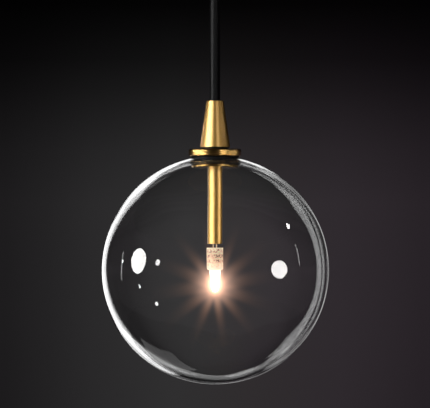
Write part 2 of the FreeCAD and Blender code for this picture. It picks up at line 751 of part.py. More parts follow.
def make_lamp():
    """Capsule lamp: two pins, a clear base with a small board, and a tapered bulb."""
    pins = []
    for name, side in (("a", 1), ("b", -1)):
        x = f"{side} * pin_pitch / 2 * cos(pin_turn * 1 deg)"
        y = f"{side} * pin_pitch / 2 * sin(pin_turn * 1 deg)"
        pins.append(cylinder(f"pin_{name}", "pin_radius", "pin_length", x, y, LAMP_TOP))
    node(grouped("lamp_pins", *pins))
    inner = "lamp_radius - lamp_wall"
    base = turned("lamp_base", LAMP_FOOT, [
        ("bulb_radius + 0.05", "0"), ("lamp_radius", "0"), ("lamp_radius", "lamp_length"),
        ("0", "lamp_length"), ("0", "lamp_length - 2.5"), (inner, "lamp_length - 2.5"),
        (inner, "1.2"), ("bulb_radius + 0.05", "1.2"),
    ])
    node(dressed(base, "0.7", ("lamp_radius", "0"), ("lamp_radius", "lamp_length")))
    node(padded("lamp_board", "0", "0", f"({LAMP_FOOT} + 2.6)", "1.2", "7", "8.6"))
    bulb_foot = f"({LAMP_FOOT} - bulb_reach)"
    tall = "bulb_reach + 1.1"
    bulb = turned("lamp_bulb", bulb_foot, [
        ("0", "0"), ("bulb_tip", "0"), ("bulb_radius", "bulb_reach * 0.66"),
        ("bulb_radius", tall), ("bulb_radius - bulb_wall", tall),
        ("bulb_radius - bulb_wall", "bulb_reach * 0.66"), ("bulb_tip - bulb_wall", "bulb_wall"),
        ("0", "bulb_wall"),
    ])
    node(dressed(bulb, "1.5", ("bulb_tip", "0")))
    stick = cylinder("lamp_emitter", "1.1", "bulb_reach - 0.5", z=f"({bulb_foot} + 1.6)")
    node(stick)


# ---- Build, check and write -------------------------------------------------------------

make_ceiling_plate()
make_driver()
make_mains()
make_canopy()
make_canopy_grip()
make_cord()
make_cone()
make_stack()
make_stem()
make_globe()
make_lamp()
doc.recompute()

for thing in doc.Objects:
    if {"Invalid", "Error"} & set(thing.State):
        raise RuntimeError(f"{thing.Label} did not build: {thing.State}")
for thing in nodes:
    if thing.Shape.isNull() or not thing.Shape.isValid() or not thing.Shape.Solids:
        raise RuntimeError(f"{thing.Label} has no valid solid")

os.makedirs("parts", exist_ok=True)
for thing in nodes:
    thing.Shape.exportStep(os.path.join("parts", f"{thing.Label}.step"))
print(f"{len(nodes)} pieces, globe centre at z = {value(GLOBE_CENTRE):.2f}")
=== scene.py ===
import bpy
import bmesh
import json
import math

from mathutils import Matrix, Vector


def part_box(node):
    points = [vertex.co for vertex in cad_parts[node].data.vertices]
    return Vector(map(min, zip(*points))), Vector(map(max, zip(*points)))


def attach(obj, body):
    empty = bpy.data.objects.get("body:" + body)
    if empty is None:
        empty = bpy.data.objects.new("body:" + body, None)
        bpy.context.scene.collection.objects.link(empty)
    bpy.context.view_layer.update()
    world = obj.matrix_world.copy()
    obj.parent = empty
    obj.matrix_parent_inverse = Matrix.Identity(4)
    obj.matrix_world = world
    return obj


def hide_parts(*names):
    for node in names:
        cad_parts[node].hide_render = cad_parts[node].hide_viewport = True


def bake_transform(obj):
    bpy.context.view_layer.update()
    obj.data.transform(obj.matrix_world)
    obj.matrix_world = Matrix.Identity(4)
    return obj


# Pendant ceiling light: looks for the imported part. Metres, +Z up, in the part's frame.
# The ceiling plate's upper face is at z = 0, and the globe hangs below.

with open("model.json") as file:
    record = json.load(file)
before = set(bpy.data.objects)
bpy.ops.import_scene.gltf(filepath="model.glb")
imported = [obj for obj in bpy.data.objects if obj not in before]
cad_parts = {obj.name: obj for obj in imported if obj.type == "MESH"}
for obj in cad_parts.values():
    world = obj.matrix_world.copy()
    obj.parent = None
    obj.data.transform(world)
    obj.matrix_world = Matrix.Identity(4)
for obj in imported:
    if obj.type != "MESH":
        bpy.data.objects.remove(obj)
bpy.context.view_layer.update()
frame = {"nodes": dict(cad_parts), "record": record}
MM = 0.001

GLOBE_LOW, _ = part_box("glass_globe")
GLOBE_RADIUS = 75 * MM
GLOBE_Z = GLOBE_LOW.z + GLOBE_RADIUS
GLOBE_WALL = 2.5 * MM
HOLE_RADIUS = 16 * MM
DISC_LOW, DISC_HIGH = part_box("upper_disc")
PLATE_LOW, PLATE_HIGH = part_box("lower_disc")
BASE_LOW, BASE_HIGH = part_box("lamp_base")
BULB_LOW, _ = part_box("lamp_bulb")


# ---- Meshes -----------------------------------------------------------------------------

# A point of an outline that is closer to the axis than this lies on it.
ON_AXIS = 1e-9
# Points of a mesh that are closer together than this are one point.
SAME_POINT = 1e-7
# The largest share of a side that the rounding of one corner takes.
CORNER_SHARE = 0.45


def smooth_object(name, mesh):
    """An object of the scene that shows a mesh with smooth faces."""
    mesh.polygons.foreach_set("use_smooth", [True] * len(mesh.polygons))
    piece = bpy.data.objects.new(name, mesh)
    bpy.context.scene.collection.objects.link(piece)
    return piece


def new_mesh(name, vertices, faces):
    """A mesh object with its normals pointing out."""
    mesh = bpy.data.meshes.new(name)
    mesh.from_pydata(vertices, [], faces)
    work = bmesh.new()
    work.from_mesh(mesh)
    bmesh.ops.remove_doubles(work, verts=work.verts, dist=SAME_POINT)
    bmesh.ops.recalc_face_normals(work, faces=work.faces)
    work.to_mesh(mesh)
    work.free()
    return smooth_object(name, mesh)


def arc(centre, radius, start, end, steps):
    """Points (r, z) on an arc, with angles in degrees from the r axis towards +z."""
    points = []
    for i in range(steps + 1):
        angle = math.radians(start + (end - start) * i / steps)
        points.append((centre[0] + radius * math.cos(angle), centre[1] + radius * math.sin(angle)))
    return points


def rounded(corners, radius, steps=5):
    """A closed (r, z) outline with its corners rounded. Corners on the axis stay sharp."""
    outline = []
    count = len(corners)
    for i, corner in enumerate(corners):
        here = Vector(corner)
        if corner[0] < ON_AXIS:
            outline.append(corner)
            continue
        back = Vector(corners[i - 1]) - here
        onward = Vector(corners[(i + 1) % count]) - here
        reach = min(radius, CORNER_SHARE * back.length, CORNER_SHARE * onward.length)
        first, last = here + back.normalized() * reach, here + onward.normalized() * reach
        for k in range(steps + 1):
            t = k / steps
            point = first * (1 - t) ** 2 + here * 2 * t * (1 - t) + last * t**2
            outline.append(tuple(point))
    return outline


def lathe(name, outline, level, steps, closed=True, x=0.0, y=0.0):
    """Turns an outline of (r, z) points, above a level, about a vertical axis at (x, y)."""
    vertices, faces, rings = [], [], []
    for r, z in outline:
        if r < ON_AXIS:
            rings.append([len(vertices)] * steps)
            vertices.append((x, y, level + z))
            continue
        rings.append(list(range(len(vertices), len(vertices) + steps)))
        for k in range(steps):
            turn = 2 * math.pi * k / steps
            vertices.append((x + r * math.cos(turn), y + r * math.sin(turn), level + z))
    above = rings[1:] + rings[:1] if closed else rings[1:]
    for low, high in zip(rings, above):
        for k in range(steps):
            following = (k + 1) % steps
            corners = [low[k], low[following], high[following], high[k]]
            face = [c for n, c in enumerate(corners) if c not in corners[:n]]
            if len(face) > 2:
                faces.append(face)
    return new_mesh(name, vertices, faces)


def joined(name, pieces):
    """One smooth object from several."""
    for piece in pieces:
        piece.data.transform(piece.matrix_world)
    merged = bmesh.new()
    for piece in pieces:
        merged.from_mesh(piece.data)
        bpy.data.objects.remove(piece)
    mesh = bpy.data.meshes.new(name)
    merged.to_mesh(mesh)
    merged.free()
    return smooth_object(name, mesh)


def spline_points(points, resolution):
    """Points along the smooth NURBS line of a route."""
    curve = bpy.data.curves.new("route", "CURVE")
    curve.dimensions = "3D"
    spline = curve.splines.new("NURBS")
    spline.points.add(len(points) - 1)
    for point, place in zip(spline.points, points):
        point.co = (*place, 1)
    spline.order_u = 3
    spline.use_endpoint_u = True
    spline.resolution_u = resolution
    carrier = bpy.data.objects.new("route", curve)
    mesh = bpy.data.meshes.new_from_object(carrier)
    path = [vertex.co.copy() for vertex in mesh.vertices]
    bpy.data.objects.remove(carrier)
    return path


def tube(name, path, radius, steps, round_ends=True):
    """A round tube along a path. radius is a number, or a function of the share of the way."""
    count = len(path)
    size = radius if callable(radius) else lambda share: radius
    heading = (path[1] - path[0]).normalized()
    side = heading.orthogonal().normalized()
    sections = []
    for i, place in enumerate(path):
        forward = (path[min(i + 1, count - 1)] - path[max(i - 1, 0)]).normalized()
        side = (side - forward * side.dot(forward)).normalized()
        sections.append((place, forward, side.copy(), size(i / (count - 1))))
    if round_ends:
        sections = end_cap(sections[0], -1)[::-1] + sections + end_cap(sections[-1], 1)
    vertices, faces = [], []
    for place, forward, across, r in sections:
        up = forward.cross(across)
        for k in range(steps):
            turn = 2 * math.pi * k / steps
            vertices.append(place + (across * math.cos(turn) + up * math.sin(turn)) * r)
    for i in range(len(sections) - 1):
        for k in range(steps):
            following = (k + 1) % steps
            a, b = i * steps, (i + 1) * steps
            faces.append((a + k, a + following, b + following, b + k))
    faces.append(list(range(steps))[::-1])
    faces.append([len(vertices) - steps + k for k in range(steps)])
    return new_mesh(name, vertices, faces)


def end_cap(section, way, steps=6, closing=88):
    """Sections that close a tube with a rounded end, up to the closing angle in degrees."""
    place, forward, side, radius = section
    cap = []
    for k in range(1, steps + 1):
        lean = math.radians(closing * k / steps)
        reach = forward * way * radius * math.sin(lean)
        cap.append((place + reach, forward, side, radius * math.cos(lean)))
    return cap


# ---- Materials --------------------------------------------------------------------------


def set_stops(colour_ramp, stops):
    """Fills a colour ramp; each stop is (place, colour)."""
    elements = colour_ramp.elements
    while len(elements) < len(stops):
        elements.new(0.5)
    for element, (place, colour) in zip(elements, stops):
        element.position = place
        element.color = (*colour, 1)


class Material:
    """A node material with one Principled shader, and short ways to add nodes to it."""

    def __init__(self, name, **sockets):
        self.data = bpy.data.materials.new(name)
        self.data.use_nodes = True
        self.nodes = self.data.node_tree.nodes
        self.links = self.data.node_tree.links
        self.shader = self.nodes["Principled BSDF"]
        self.coords = self.nodes.new("ShaderNodeTexCoord").outputs["Object"]
        for socket, setting in sockets.items():
            self.shader.inputs[socket.replace("_", " ")].default_value = setting

    def node(self, kind, settings=None, **inputs):
        """Adds a node. An input is a value or another node's output, by name or as i0, i1..."""
        made = self.nodes.new("ShaderNode" + kind)
        for name, setting in (settings or {}).items():
            setattr(made, name, setting)
        for name, source in inputs.items():
            socket = made.inputs[int(name[1:]) if name[1:].isdigit() else name.replace("_", " ")]
            if isinstance(source, bpy.types.NodeSocket):
                self.links.new(source, socket)
            else:
                socket.default_value = source
        return made

    def stretched(self, x, y, z):
        """Object coordinates scaled by direction."""
        return self.node("Mapping", Vector=self.coords, Scale=(x, y, z)).outputs[0]

    def round_axis(self, scale, twist):
        """Coordinates that run along the turning lines of a piece turned about Z."""
        parts = self.node("SeparateXYZ", Vector=self.coords)
        flat = self.node("CombineXYZ", X=parts.outputs[0], Y=parts.outputs[1])
        radius = self.node("VectorMath", {"operation": "LENGTH"}, Vector=flat.outputs[0])
        drift = self.node("Math", {"operation": "MULTIPLY"}, i0=parts.outputs[0], i1=twist)
        lined = self.node(
            "CombineXYZ", X=radius.outputs["Value"], Y=drift.outputs[0], Z=parts.outputs[2]
        )
        scaled = self.node("VectorMath", {"operation": "SCALE"}, Vector=lined.outputs[0])
        scaled.inputs["Scale"].default_value = scale
        return scaled.outputs[0]

    def way_up(self, bottom, top):
        """The share of the way up from one level to another."""
        height = self.node("SeparateXYZ", Vector=self.coords).outputs[2]
        return self.spread(height, 0.0, 1.0, bottom, top)

    def mixed(self, factor, first, second):
        """The first colour, an output, turning into the second, an (r, g, b)."""
        made = self.node("Mix", {"data_type": "RGBA"}, i0=factor, i6=first, i7=(*second, 1))
        return made.outputs[2]

    def noise(self, vector, scale, detail=4.0):
        made = self.node("TexNoise", Vector=vector, Scale=scale, Detail=detail, Roughness=0.55)
        return made.outputs["Fac"]

    def ramp(self, factor, *stops):
        """A colour ramp; each stop is (place, colour)."""
        made = self.node("ValToRGB", Fac=factor)
        set_stops(made.color_ramp, stops)
        return made.outputs["Color"]

    def spread(self, factor, low, high, start=0.3, end=0.7):
        """Maps start to end, by default a noise's middle range, to low to high."""
        made = self.node("MapRange", i0=factor, i1=start, i2=end, i3=low, i4=high)
        return made.outputs[0]

    def colour(self, output):
        self.links.new(output, self.shader.inputs["Base Color"])

    def roughness(self, output):
        self.links.new(output, self.shader.inputs["Roughness"])

    def emission(self, output, strength):
        self.links.new(output, self.shader.inputs["Emission Color"])
        self.shader.inputs["Emission Strength"].default_value = strength

    def bump(self, height, strength, distance):
        made = self.node("Bump", Height=height, Strength=strength, Distance=distance)
        self.links.new(made.outputs[0], self.shader.inputs["Normal"])


# The scale of a plain material's broad noise, as a share of its fine noise's scale.
BROAD_SHARE = 0.08
GRAIN_DEPTH = 0.02 * MM


def grained(name, dark, light, scale, rough, bump, stretch=(1, 1, 1), **sockets):
    """A material whose colour, roughness and height vary with a fine and a broad noise."""
    made = Material(name, **sockets)
    where = made.stretched(*stretch)
    broad = made.noise(where, scale * BROAD_SHARE)
    fine = made.noise(where, scale, 6)
    made.colour(made.ramp(broad, (0.3, dark), (0.7, light)))
    made.roughness(made.spread(broad, *rough))
    made.bump(fine, bump, GRAIN_DEPTH)
    return made.data


def brushed_brass(name, low, high):
    """Lacquered brass, finely brushed round its axis, a little deeper in tone in patches."""
    made = Material(name, Metallic=1.0, Anisotropic=0.3, Coat_Weight=1.0, Coat_Roughness=0.2)
    lines = made.noise(made.round_axis(5000, 0.04), 1.0, 3)
    patches = made.noise(made.coords, 55, 3)
    tone = made.ramp(patches, (0.25, (0.84, 0.47, 0.11)), (0.75, (0.89, 0.51, 0.135)))
    made.colour(tone)
    made.roughness(made.spread(lines, low, high))
    made.bump(lines, 0.03, 0.001 * MM)
    return made.data


def clear_glass():
    """Clear blown glass, smooth, with a faint slow unevenness in its tone and its skin."""
    made = Material("clear_glass", Roughness=0.0, IOR=1.5, Transmission_Weight=1.0)
    faint = made.noise(made.coords, 22, 2)
    made.colour(made.ramp(faint, (0.3, (0.985, 0.99, 0.99)), (0.7, (0.995, 0.996, 0.996))))
    made.bump(faint, 0.15, 0.25 * MM)
    return made.data


def black_flex():
    """Black sheath with a soft shine and the faint lay of its cores."""
    made = Material("black_flex", Specular_IOR_Level=0.5)
    broad = made.noise(made.stretched(1, 1, 0.3), 90, 3)
    fine = made.noise(made.stretched(1, 1, 0.5), 2600, 4)
    made.colour(made.ramp(broad, (0.3, (0.008, 0.008, 0.009)), (0.7, (0.013, 0.013, 0.014))))
    made.roughness(made.spread(broad, 0.34, 0.44))
    made.bump(fine, 0.25, 0.03 * MM)
    return made.data


def lamp_light():
    """The lit lower end of the lamp: warm white, dimmer towards the base."""
    made = Material("lamp_light", Roughness=0.5)
    heat = made.ramp(
        made.way_up(BULB_LOW.z, BASE_LOW.z), (0.0, (1.0, 0.84, 0.70)), (0.4, (1.0, 0.90, 0.80)),
        (0.75, (0.4, 0.34, 0.28)), (1.0, (0.22, 0.18, 0.14)),
    )
    made.emission(heat, 7.5)
    patches = made.noise(made.coords, 900)
    made.colour(made.ramp(patches, (0.3, (0.9, 0.7, 0.4)), (0.7, (1, 0.8, 0.5))))
    return made.data


# The rows of small dark parts in the lamp: the share of the way up its base, and how dark.
LAMP_ROWS = [
    (0.0, 0), (0.22, 0.5), (0.30, 0), (0.36, 1), (0.45, 1), (0.50, 0), (0.60, 1), (0.68, 1),
    (0.73, 0), (0.80, 0.7), (0.93, 0.8), (0.97, 0),
]


def lamp_body():
    """Milky silicone round the lamp's board, lit from below, with the parts showing darkly."""
    made = Material("lamp_body", Roughness=0.32, Specular_IOR_Level=0.5)
    share = made.way_up(BASE_LOW.z, BASE_HIGH.z)
    glow = made.ramp(
        share, (0.0, (1.0, 0.80, 0.58)), (0.3, (0.92, 0.62, 0.42)), (0.6, (0.72, 0.50, 0.33)),
        (1.0, (0.86, 0.66, 0.46)),
    )
    rows = made.ramp(share, *[(place, (darkness,) * 3) for place, darkness in LAMP_ROWS])
    specks = made.noise(made.stretched(1, 1, 0.8), 1150, 1.5)
    dots = made.spread(specks, 0.0, 1.0, 0.50, 0.56)
    part = made.node("Math", {"operation": "MULTIPLY"}, i0=rows, i1=dots)
    dark = made.mixed(part.outputs[0], glow, (0.11, 0.04, 0.02))
    made.colour(dark)
    made.emission(dark, 0.8)
    made.bump(specks, 0.2, 0.03 * MM)
    return made.data


def paint(piece, material):
    """Gives a piece one material."""
    if not piece.material_slots:
        piece.data.materials.append(material)
    for slot in piece.material_slots:
        slot.material = material


MATERIALS = {
    "satin_brass": brushed_brass("satin_brass", 0.33, 0.37),
    "clear_glass": clear_glass(),
    "flex": black_flex(),
    "steel": grained(
        "zinc_steel", (0.42, 0.43, 0.45), (0.62, 0.63, 0.65), 1500, (0.3, 0.5),
        0.15, Metallic=1.0,
    ),
    "black_rubber": grained(
        "black_rubber", (0.008, 0.008, 0.009), (0.014, 0.014, 0.015), 2500, (0.45, 0.6), 0.2
    ),
    "black_plastic": grained(
        "black_plastic", (0.008, 0.008, 0.009), (0.012, 0.012, 0.013), 3000, (0.35, 0.5), 0.2
    ),
    "white_plastic": grained(
        "white_plastic", (0.68, 0.68, 0.65), (0.76, 0.76, 0.74), 3500, (0.4, 0.55), 0.25
    ),
    "clear_plastic": grained(
        "milky_plastic", (0.62, 0.66, 0.68), (0.75, 0.78, 0.8), 900, (0.25, 0.4), 0.1,
        Subsurface_Weight=0.2,
    ),
    "circuit_board": grained(
        "circuit_board", (0.01, 0.07, 0.03), (0.03, 0.16, 0.06), 600, (0.3, 0.5), 0.3
    ),
    "earth_sleeve": grained(
        "earth_sleeve", (0.1, 0.3, 0.03), (0.5, 0.5, 0.04), 900, (0.35, 0.45), 0.1,
        stretch=(1, 0.15, 1),
    ),
    "lead_sleeve": grained(
        "lead_sleeve", (0.12, 0.05, 0.03), (0.2, 0.09, 0.05), 1200, (0.35, 0.45), 0.1
    ),
    "ceramic": grained(
        "ceramic", (0.7, 0.67, 0.6), (0.8, 0.78, 0.73), 2500, (0.55, 0.7), 0.3
    ),
    "contact_metal": grained(
        "contact_metal", (0.6, 0.6, 0.58), (0.78, 0.78, 0.77), 3000, (0.18, 0.3), 0.1,
        Metallic=1.0,
    ),
    "lamp_glass": lamp_body(),
    "lamp_glow": lamp_light(),
}
# The two discs are polished more than the other brass.
BRIGHT_BRASS = brushed_brass("bright_brass", 0.18, 0.22)


def finish_cad_nodes():
    """Every carried-over CAD node gets the material of its slot."""
    for entry in frame["record"]["subparts"]:
        paint(frame["nodes"][entry["node"]], MATERIALS[entry["material_slot"]])


# ---- Globe ------------------------------------------------------------------------------

# The lowest ring of the globe's mesh, in degrees, and the angle where the rim's bead starts.
LOWEST_RING = -89.2
BEAD_START = 6


def globe_outline():
    """(r, z) about the globe's centre: the outer skin, the polished rim and the inner skin."""
    outer, inner = GLOBE_RADIUS, GLOBE_RADIUS - GLOBE_WALL
    bead = GLOBE_WALL / 2
    middle = GLOBE_RADIUS - bead
    lean = math.degrees(math.asin((HOLE_RADIUS + bead) / middle))
    centre = (HOLE_RADIUS + bead, middle * math.cos(math.radians(lean)))
    outline = [(0.0, -outer)] + arc((0, 0), outer, LOWEST_RING, 90 - lean, 150)
    outline += arc(centre, bead, 90 - lean + BEAD_START, 270 - lean - BEAD_START, 20)
    return outline + arc((0, 0), inner, 90 - lean, LOWEST_RING, 150) + [(0.0, -inner)]


# Where the wall is thicker or thinner than even: direction, change in mm and spread.
THICK_PLACES = [
    ((-0.72, 0.0, 0.69), 0.10, 0.30),
    ((-0.70, 0.0, -0.71), 0.30, 0.28),
    ((-1.0, 0.0, 0.0), -0.20, 0.40),
    ((0.62, 0.0, 0.78), 0.15, 0.25),
    ((0.60, 0.1, -0.80), 0.35, 0.25),
    ((0.46, 0.1, -0.88), -0.4, 0.10),
    ((0.0, -1.0, 0.1), 0.15, 0.5),
    ((0.1, 0.9, -0.3), 0.2, 0.5),
]
# The wall is even from this height above the globe's centre up to the hole, and fully uneven
# this far below it. The outer skin is drawn in a little, to stay inside the CAD globe.
EVEN_HEIGHT = 66 * MM
EVEN_FADE = 16 * MM
SKIN_DRAWN_IN = 0.12 * MM


def unevenness(way):
    """How much thicker than even the blown wall is in a direction."""
    extra = 0.05 * math.sin(9 * way.z + 4 * way.x + 1.1) * math.sin(6 * way.x - 5 * way.y)
    for place, thickness, spread in THICK_PLACES:
        away = (way - Vector(place).normalized()).length
        extra += thickness * math.exp(-((away / spread) ** 2))
    return extra * MM


def make_globe():
    """Blown glass shell whose wall is never quite even."""
    globe = lathe("blown_globe", globe_outline(), GLOBE_Z, steps=256, closed=False)
    centre = Vector((0, 0, GLOBE_Z))
    middle = GLOBE_RADIUS - GLOBE_WALL / 2
    for vertex in globe.data.vertices:
        out = vertex.co - centre
        way = out.normalized()
        share = min(1.0, max(0.0, (EVEN_HEIGHT - out.z) / EVEN_FADE))
        inwards = SKIN_DRAWN_IN if out.length > middle else unevenness(way)
        vertex.co -= way * inwards * share
    paint(globe, MATERIALS["clear_glass"])
    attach(globe, "globe")
    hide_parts("glass_globe")


# ---- Head -------------------------------------------------------------------------------

HEAD_BORE = 4.4 * MM
# The washer stays this much thinner than its CAD node, clear of the cone on it.
WASHER_GAP = 0.02 * MM
COLLAR_WAIST = 15.5 * MM
COLLAR_BELLY = 15.7 * MM
COLLAR_FLANGE = 16.2 * MM


def turned_piece(node, body, slot, outline, level, steps=192, material=None):
    """A turned piece that stands for a CAD node."""
    piece = lathe("fine_" + node, outline, level, steps)
    paint(piece, material or MATERIALS[slot])
    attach(piece, body)
    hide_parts(node)
    return piece


def flat_ring(radius, tall):
    """(r, z) corners of a flat ring with the head's bore."""
    return [(HEAD_BORE, 0), (radius, 0), (radius, tall), (HEAD_BORE, tall)]


def make_head():
    """The collar, washer and discs, with their true edges."""
    tall = DISC_LOW.z - PLATE_HIGH.z
    collar = [
        (HEAD_BORE, 0), (COLLAR_WAIST, 0), (COLLAR_BELLY, 1.5 * MM),
        (COLLAR_WAIST, tall - 0.6 * MM), (COLLAR_FLANGE, tall - 0.4 * MM), (COLLAR_FLANGE, tall),
        (HEAD_BORE, tall),
    ]
    turned_piece(
        "expanding_collar", "head", "black_rubber", rounded(collar, 0.15 * MM, 3), PLATE_HIGH.z
    )
    low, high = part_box("clamp_washer")
    washer = rounded(flat_ring(high.x, high.z - low.z - WASHER_GAP), 0.2 * MM, 3)
    turned_piece("clamp_washer", "head", "black_rubber", washer, low.z)
    for node, low, high, edge in (
        ("upper_disc", DISC_LOW, DISC_HIGH, 1.0 * MM),
        ("lower_disc", PLATE_LOW, PLATE_HIGH, 0.3 * MM),
    ):
        disc = rounded(flat_ring(high.x, high.z - low.z), edge, 6)
        piece = turned_piece(node, "head", "satin_brass", disc, low.z, material=BRIGHT_BRASS)
        # The glass doesn't mirror the discs.
        piece.visible_glossy = False


# ---- Lamp -------------------------------------------------------------------------------

BASE_RADIUS = 5.4 * MM
BASE_BORE = 3.9 * MM
LIT_TIP = 1.9 * MM
LIT_TOP = 3.7 * MM
# How far the lit end reaches up into the base.
LIT_OVERLAP = 1.0 * MM
# The lit end's swelling sides, as (r, z) above its tip.
LIT_SIDES = [(2.5 * MM, 5.2 * MM), (3.1 * MM, 9.0 * MM), (3.5 * MM, 12.0 * MM)]
PIN_RADIUS = 0.35 * MM


def make_lamp():
    """Capsule lamp: bright pins, a milky body with its board inside, and the lit end."""
    tall = BASE_HIGH.z - BASE_LOW.z
    body = [
        (BASE_BORE, 0.0), (BASE_RADIUS - 0.5 * MM, 0.0), (BASE_RADIUS, 1.1 * MM),
        (BASE_RADIUS, tall), (0.0, tall), (0.0, tall - 0.6 * MM), (BASE_BORE, tall - 0.8 * MM),
    ]
    turned_piece("lamp_base", "lamp", "lamp_glass", rounded(body, 0.35 * MM, 4), BASE_LOW.z, 96)
    reach = BASE_LOW.z + LIT_OVERLAP - BULB_LOW.z
    lit = [(0.0, 0.0)] + arc((0, LIT_TIP), LIT_TIP, -80, -8, 10) + LIT_SIDES
    lit += [(LIT_TOP, reach), (0.0, reach)]
    turned_piece("lamp_bulb", "lamp", "lamp_glow", lit, BULB_LOW.z, 64)
    low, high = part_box("lamp_pins")
    tall = high.z - low.z
    stick = [(0.0, 0.0), (PIN_RADIUS, 0.0)]
    stick += arc((0, tall - PIN_RADIUS), PIN_RADIUS, 0, 80, 6) + [(0.0, tall)]
    far = Vector((high.x - PIN_RADIUS, high.y - PIN_RADIUS, 0))
    pins = [lathe("pin", stick, low.z, 32, x=place.x, y=place.y) for place in (far, -far)]
    both = joined("bright_pins", pins)
    paint(both, MATERIALS["contact_metal"])
    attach(both, "lamp")
    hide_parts("lamp_pins")


# ---- Leads ------------------------------------------------------------------------------

CORE_RADIUS = 0.95 * MM
# The two cores' routes, from the driver's output terminal to the flex, in millimetres.
OUTPUT_ROUTES = [
    [(23, -29.2, -7), (23, -36, -7), (18, -38, -10), (9, -34, -13.5), (3, -22, -12),
     (5, -9, -5.6), (1.6, 0, -6), (1.6, 0, -10)],
    [(28, -29.2, -8), (28, -37, -8), (20, -41, -14), (4, -38, -17.5), (-5, -22, -15),
     (-2.2, -9, -6.5), (-1.6, 0, -6), (-1.6, 0, -10)],
]


def make_output_leads():
    """Two slack cores, from the driver's output terminal to the flex."""
    cores = []
    for route in OUTPUT_ROUTES:
        path = spline_points([Vector(place) * MM for place in route], 16)
        cores.append(tube("core", path, CORE_RADIUS, steps=20, round_ends=False))
    leads = joined("slack_leads", cores)
    paint(leads, MATERIALS["lead_sleeve"])
    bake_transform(leads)
    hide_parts("output_leads")


# ---- Flex -------------------------------------------------------------------------------

CORD_RADIUS = 3.4 * MM
# How far the sheath's radius varies along the flex, as a share of it.
CORD_VARIATION = 0.004
# The same straight route as the CAD rod, from the canopy grip down to the cone.
CORD_ROUTE = [(0, 0, -0.034), (0, 0, -0.058), (0, 0, -0.084), (0, 0, -0.108)]


def make_cord():
    """The taut flex, from the canopy grip down to the cone."""
    path = spline_points(CORD_ROUTE, 24)

    def radius(share):
        wave = math.sin(share * 41) * math.sin(share * 23 + 1)
        return CORD_RADIUS * (1 - CORD_VARIATION + CORD_VARIATION * wave)

    cord = tube("flex_cord", path, radius, steps=64)
    paint(cord, MATERIALS["flex"])
    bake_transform(cord)
    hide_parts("cord")


# ---- Camera, lights and surroundings ----------------------------------------------------

# Each glare filter with the blur of its light, in picture points, and its settings.
GLARES = [
    ("FOG_GLOW", 30, {
        "Threshold": 3.2, "Strength": 0.55, "Size": 0.28, "Saturation": 0.15,
        "Tint": (1.0, 0.92, 0.95, 1),
    }),
    ("STREAKS", 4, {
        "Threshold": 3.2, "Strength": 0.9, "Streaks": 12, "Streaks_Angle": 0.15, "Iterations": 3,
        "Fade": 0.9, "Color_Modulation": 0.0, "Saturation": 1.0, "Tint": (1.0, 0.55, 0.36, 1),
    }),
]


def make_glare():
    """The lens's soft halo and faint rays round the lit lamp."""
    scene = bpy.context.scene
    scene.use_nodes = True
    nodes, links = scene.node_tree.nodes, scene.node_tree.links
    nodes.clear()
    picture = nodes.new("CompositorNodeRLayers").outputs["Image"]
    whole = picture
    for kind, blur, settings in GLARES:
        glare = nodes.new("CompositorNodeGlare")
        glare.glare_type = kind
        glare.quality = "HIGH"
        for name, setting in settings.items():
            glare.inputs[name.replace("_", " ")].default_value = setting
        links.new(picture, glare.inputs["Image"])
        softened = nodes.new("CompositorNodeBlur")
        softened.filter_type = "FAST_GAUSS"
        softened.size_x = softened.size_y = blur
        links.new(glare.outputs["Glare"], softened.inputs["Image"])
        added = nodes.new("CompositorNodeMixRGB")
        added.blend_type = "ADD"
        links.new(whole, added.inputs[1])
        links.new(softened.outputs[0], added.inputs[2])
        whole = added.outputs[0]
    links.new(whole, nodes.new("CompositorNodeComposite").inputs["Image"])


# The camera, in metres: how far it is, how wide it sees at the globe, and how far it is above
# the globe's centre. The sensor's width is in millimetres.
CAMERA_DISTANCE = 2.2
VIEW_WIDTH = 0.2819
VIEW_HEIGHT_OVER_GLOBE = 0.0433
SENSOR = 36.0


def make_camera():
    """A long level lens, in front of the upper half of the globe."""
    data = bpy.data.cameras.new("camera")
    data.sensor_width = SENSOR
    data.lens = SENSOR * CAMERA_DISTANCE / VIEW_WIDTH
    data.clip_start = 0.1
    data.clip_end = 50
    camera = bpy.data.objects.new("camera", data)
    camera.location = (0, -CAMERA_DISTANCE, GLOBE_Z + VIEW_HEIGHT_OVER_GLOBE)
    camera.rotation_euler = (math.radians(90), 0, 0)
    bpy.context.scene.collection.objects.link(camera)
    bpy.context.scene.camera = camera


WHITE = (1, 1, 1)
COOL = (0.75, 0.95, 1.4)
GLINT_COLOUR = (1.0, 0.98, 0.97)
VEIL_COLOUR = (1.0, 0.96, 0.98)

# The lights. Each has a name, its azimuth and elevation in degrees, its distance and (width,
# height) in metres, its radiance and, unless it is white, its colour.

# The two round softboxes that glint on the globe's outer skin.
GLASS_KEYS = [
    ("left_key", -82, 7, 1.5, (0.50, 0.50), 21, (1.0, 0.98, 0.96)),
    ("right_key", 66, 1, 1.5, (0.50, 0.38), 21, (1.0, 0.97, 0.96)),
]
